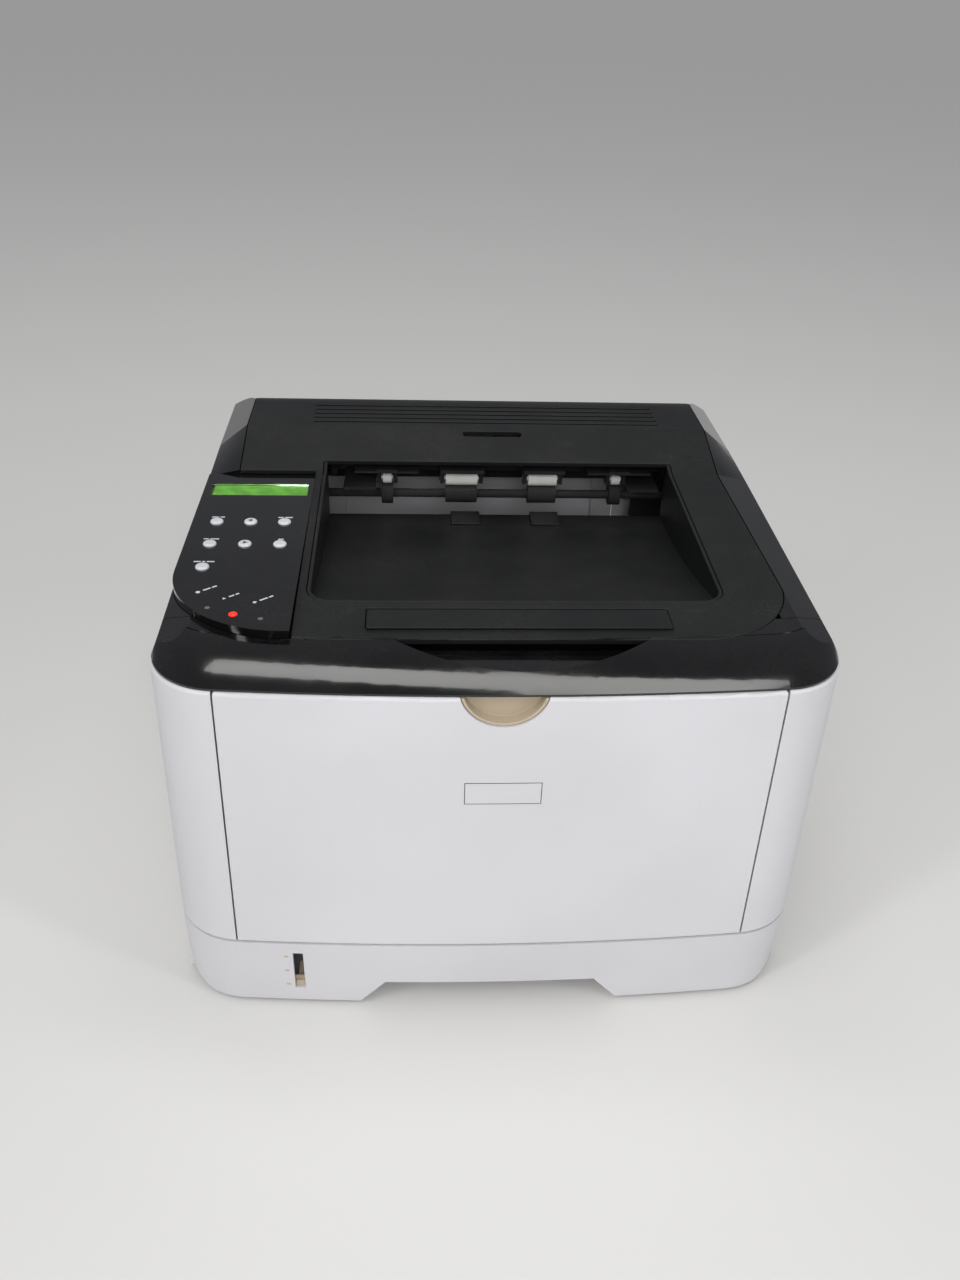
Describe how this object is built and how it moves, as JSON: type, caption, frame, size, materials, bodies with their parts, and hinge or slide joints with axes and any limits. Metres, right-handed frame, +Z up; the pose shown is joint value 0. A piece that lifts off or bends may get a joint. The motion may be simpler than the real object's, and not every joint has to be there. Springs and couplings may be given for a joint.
{
  "type": "desktop laser printer",
  "caption": "Desktop A4 laser printer with a paper cassette, bypass door, top output bin, control panel and working inner mechanism.",
  "frame": {"origin": "centre of the footprint on the surface that the printer stands on", "axes": "+X to the right seen from the front, +Y to the back, +Z up"},
  "size_m": [0.37, 0.392, 0.262],
  "materials": {
    "white_plastic": "satin, fine texture",
    "black_deck": "matte, fine grain",
    "gloss_black": "gloss",
    "beige_plastic": "satin",
    "grey_plastic": "matte",
    "dark_grey_plastic": "matte",
    "button_plastic": "satin",
    "lcd": "backlit",
    "clear_window": "clear",
    "red_lens": "lit",
    "rubber": "matte",
    "roller_white": "satin",
    "steel": "satin",
    "zinc_sheet": "satin",
    "drum_coating": "gloss",
    "circuit_board": "satin",
    "gear_plastic": "satin",
    "aluminium": "satin"
  },
  "bodies": {
    "chassis": {"alert_lens": "red_lens", "base_frame": "dark_grey_plastic", "cartridge_body": "dark_grey_plastic", "fan_housing": "dark_grey_plastic", "front_band": "gloss_black", "fuser_frame": "grey_plastic", "hinge_rod": "steel", "laser_unit": "dark_grey_plastic", "lcd_glass": "clear_window", "lcd_module": "lcd", "left_cover": "white_plastic", "main_board": "circuit_board", "main_motor": "zinc_sheet", "output_tray": "black_deck", "panel_board": "circuit_board", "panel_plate": "gloss_black", "power_supply": "circuit_board", "rear_frame_cover": "white_plastic", "rear_sockets": "dark_grey_plastic", "right_cover": "white_plastic", "roller_holders": "dark_grey_plastic", "rubber_feet": "rubber", "side_plates": "zinc_sheet", "side_trims": "gloss_black", "top_cover": "black_deck"},
    "front_cover": {"front_cover": "white_plastic"},
    "bypass_door": {"bypass_door": "white_plastic", "handle_cup": "beige_plastic"},
    "bypass_guide_left": {"bypass_guide_left": "grey_plastic"},
    "bypass_guide_right": {"bypass_guide_right": "grey_plastic"},
    "cassette": {"cassette_box": "grey_plastic", "cassette_front": "white_plastic", "lift_spring": "steel"},
    "lift_plate": {"lift_plate": "zinc_sheet"},
    "side_guide_left": {"side_guide_left": "grey_plastic"},
    "side_guide_right": {"side_guide_right": "grey_plastic"},
    "end_guide": {"end_guide": "grey_plastic"},
    "level_indicator": {"paper_level_indicator": "beige_plastic"},
    "stop_fence": {"stop_fence": "black_deck"},
    "power_rocker": {"power_rocker": "dark_grey_plastic"},
    "exit_drive": {"exit_drive_shaft": "rubber"},
    "exit_idlers": {"exit_idlers": "roller_white"},
    "stack_flags": {"stack_flags": "dark_grey_plastic"},
    "rear_cover": {"rear_cover": "white_plastic"},
    "heat_roller": {"heat_roller": "aluminium"},
    "pressure_roller": {"pressure_roller": "rubber"},
    "opc_drum": {"opc_drum": "drum_coating"},
    "transfer_roller": {"transfer_roller": "rubber"},
    "feed_roller": {"feed_roller": "rubber"},
    "polygon_mirror": {"polygon_mirror": "aluminium"},
    "fan_impeller": {"fan_impeller": "dark_grey_plastic"},
    "motor_pinion": {"motor_pinion": "steel"},
    "middle_gear": {"middle_gear": "gear_plastic"},
    "button_back": {"button_back": "button_plastic"},
    "button_up": {"button_up": "button_plastic"},
    "button_ok": {"button_ok": "button_plastic"},
    "button_cancel": {"button_cancel": "button_plastic"},
    "button_down": {"button_down": "button_plastic"},
    "button_go": {"button_go": "button_plastic"},
    "button_secure": {"button_secure": "button_plastic"}
  },
  "joints": [
    {"name": "front_cover_hinge", "type": "hinge", "parent": "chassis", "child": "front_cover", "pos_m": [0, -0.189, 0.07], "axis": [1, 0, 0], "range_deg": [0, 85]},
    {"name": "bypass_door_hinge", "type": "hinge", "parent": "front_cover", "child": "bypass_door", "pos_m": [0, -0.189, 0.07], "axis": [-1, 0, 0], "range_deg": [-80, 0]},
    {"name": "bypass_guide_left_slide", "type": "slide", "parent": "bypass_door", "child": "bypass_guide_left", "axis": [1, 0, 0], "range_m": [0, 0.04]},
    {"name": "bypass_guide_right_slide", "type": "slide", "parent": "bypass_door", "child": "bypass_guide_right", "axis": [1, 0, 0], "range_m": [-0.04, 0]},
    {"name": "cassette_slide", "type": "slide", "parent": "chassis", "child": "cassette", "axis": [0, -1, 0], "range_m": [0, 0.3]},
    {"name": "lift_plate_hinge", "type": "hinge", "parent": "cassette", "child": "lift_plate", "pos_m": [0, 0, 0.015], "axis": [1, 0, 0], "range_deg": [0, 12], "stiffness_Nm_per_rad": 1, "springref_deg": -34.38, "deforming": ["lift_spring"]},
    {"name": "side_guide_left_slide", "type": "slide", "parent": "cassette", "child": "side_guide_left", "axis": [1, 0, 0], "range_m": [0, 0.03]},
    {"name": "side_guide_right_slide", "type": "slide", "parent": "cassette", "child": "side_guide_right", "axis": [1, 0, 0], "range_m": [-0.03, 0]},
    {"name": "end_guide_slide", "type": "slide", "parent": "cassette", "child": "end_guide", "axis": [0, -1, 0], "range_m": [0, 0.085]},
    {"name": "level_indicator_slide", "type": "slide", "parent": "cassette", "child": "level_indicator", "axis": [0, 0, 1], "range_m": [0, 0.024]},
    {"name": "stop_fence_hinge", "type": "hinge", "parent": "chassis", "child": "stop_fence", "pos_m": [0, -0.1295, 0.2409], "axis": [-1, 0, 0], "range_deg": [0, 95]},
    {"name": "power_rocker_hinge", "type": "hinge", "parent": "chassis", "child": "power_rocker", "pos_m": [-0.179, 0.145, 0.097], "axis": [0, 1, 0], "range_deg": [0, 10]},
    {"name": "exit_drive_spin", "type": "hinge", "parent": "chassis", "child": "exit_drive", "pos_m": [0, 0.078, 0.219], "axis": [1, 0, 0], "continuous": true},
    {"name": "exit_idler_spin", "type": "hinge", "parent": "chassis", "child": "exit_idlers", "pos_m": [0, 0.078, 0.231], "axis": [1, 0, 0], "continuous": true},
    {"name": "stack_flag_hinge", "type": "hinge", "parent": "chassis", "child": "stack_flags", "pos_m": [0, 0.101, 0.228], "axis": [-1, 0, 0], "range_deg": [0, 16]},
    {"name": "rear_cover_hinge", "type": "hinge", "parent": "chassis", "child": "rear_cover", "pos_m": [0, 0.1885, 0.0758], "axis": [-1, 0, 0], "range_deg": [0, 80]},
    {"name": "heat_roller_spin", "type": "hinge", "parent": "chassis", "child": "heat_roller", "pos_m": [0, 0.108, 0.11615], "axis": [1, 0, 0], "continuous": true},
    {"name": "pressure_roller_spin", "type": "hinge", "parent": "chassis", "child": "pressure_roller", "pos_m": [0, 0.108, 0.08985], "axis": [1, 0, 0], "continuous": true},
    {"name": "drum_spin", "type": "hinge", "parent": "chassis", "child": "opc_drum", "pos_m": [0, -0.03, 0.118], "axis": [1, 0, 0], "continuous": true},
    {"name": "transfer_roller_spin", "type": "hinge", "parent": "chassis", "child": "transfer_roller", "pos_m": [0, -0.03, 0.0962], "axis": [1, 0, 0], "continuous": true},
    {"name": "feed_roller_spin", "type": "hinge", "parent": "chassis", "child": "feed_roller", "pos_m": [0, -0.138, 0.076], "axis": [1, 0, 0], "continuous": true},
    {"name": "polygon_mirror_spin", "type": "hinge", "parent": "chassis", "child": "polygon_mirror", "pos_m": [0.02, 0.005, 0.182], "axis": [0, 0, 1], "continuous": true},
    {"name": "fan_spin", "type": "hinge", "parent": "chassis", "child": "fan_impeller", "pos_m": [0.17, 0.132, 0.179], "axis": [1, 0, 0], "continuous": true},
    {"name": "motor_pinion_spin", "type": "hinge", "parent": "chassis", "child": "motor_pinion", "pos_m": [0.153, 0.048, 0.14], "axis": [1, 0, 0], "continuous": true},
    {"name": "middle_gear_spin", "type": "hinge", "parent": "chassis", "child": "middle_gear", "pos_m": [0.153, 0.01503, 0.13855], "axis": [1, 0, 0], "continuous": true},
    {"name": "button_back_press", "type": "slide", "parent": "chassis", "child": "button_back", "axis": [0, 0, -1], "range_m": [0, 0.001], "stiffness_N_per_m": 200, "springref_m": -0.001},
    {"name": "button_up_press", "type": "slide", "parent": "chassis", "child": "button_up", "axis": [0, 0, -1], "range_m": [0, 0.001], "stiffness_N_per_m": 200, "springref_m": -0.001},
    {"name": "button_ok_press", "type": "slide", "parent": "chassis", "child": "button_ok", "axis": [0, 0, -1], "range_m": [0, 0.001], "stiffness_N_per_m": 200, "springref_m": -0.001},
    {"name": "button_cancel_press", "type": "slide", "parent": "chassis", "child": "button_cancel", "axis": [0, 0, -1], "range_m": [0, 0.001], "stiffness_N_per_m": 200, "springref_m": -0.001},
    {"name": "button_down_press", "type": "slide", "parent": "chassis", "child": "button_down", "axis": [0, 0, -1], "range_m": [0, 0.001], "stiffness_N_per_m": 200, "springref_m": -0.001},
    {"name": "button_go_press", "type": "slide", "parent": "chassis", "child": "button_go", "axis": [0, 0, -1], "range_m": [0, 0.001], "stiffness_N_per_m": 200, "springref_m": -0.001},
    {"name": "button_secure_press", "type": "slide", "parent": "chassis", "child": "button_secure", "axis": [0, 0, -1], "range_m": [0, 0.001], "stiffness_N_per_m": 200, "springref_m": -0.001}
  ],
  "couplings": [
    {"joint": "bypass_guide_right_slide", "follows": "bypass_guide_left_slide", "ratio": -1},
    {"joint": "side_guide_right_slide", "follows": "side_guide_left_slide", "ratio": -1},
    {"joint": "level_indicator_slide", "follows": "lift_plate_hinge", "m_per_rad": 0.1122},
    {"joint": "exit_idler_spin", "follows": "exit_drive_spin", "ratio": -1.2075},
    {"joint": "pressure_roller_spin", "follows": "heat_roller_spin", "ratio": -1},
    {"joint": "transfer_roller_spin", "follows": "drum_spin", "ratio": -2.3077},
    {"joint": "middle_gear_spin", "follows": "drum_spin", "ratio": -1.0625},
    {"joint": "motor_pinion_spin", "follows": "drum_spin", "ratio": 2.8333}
  ]
}
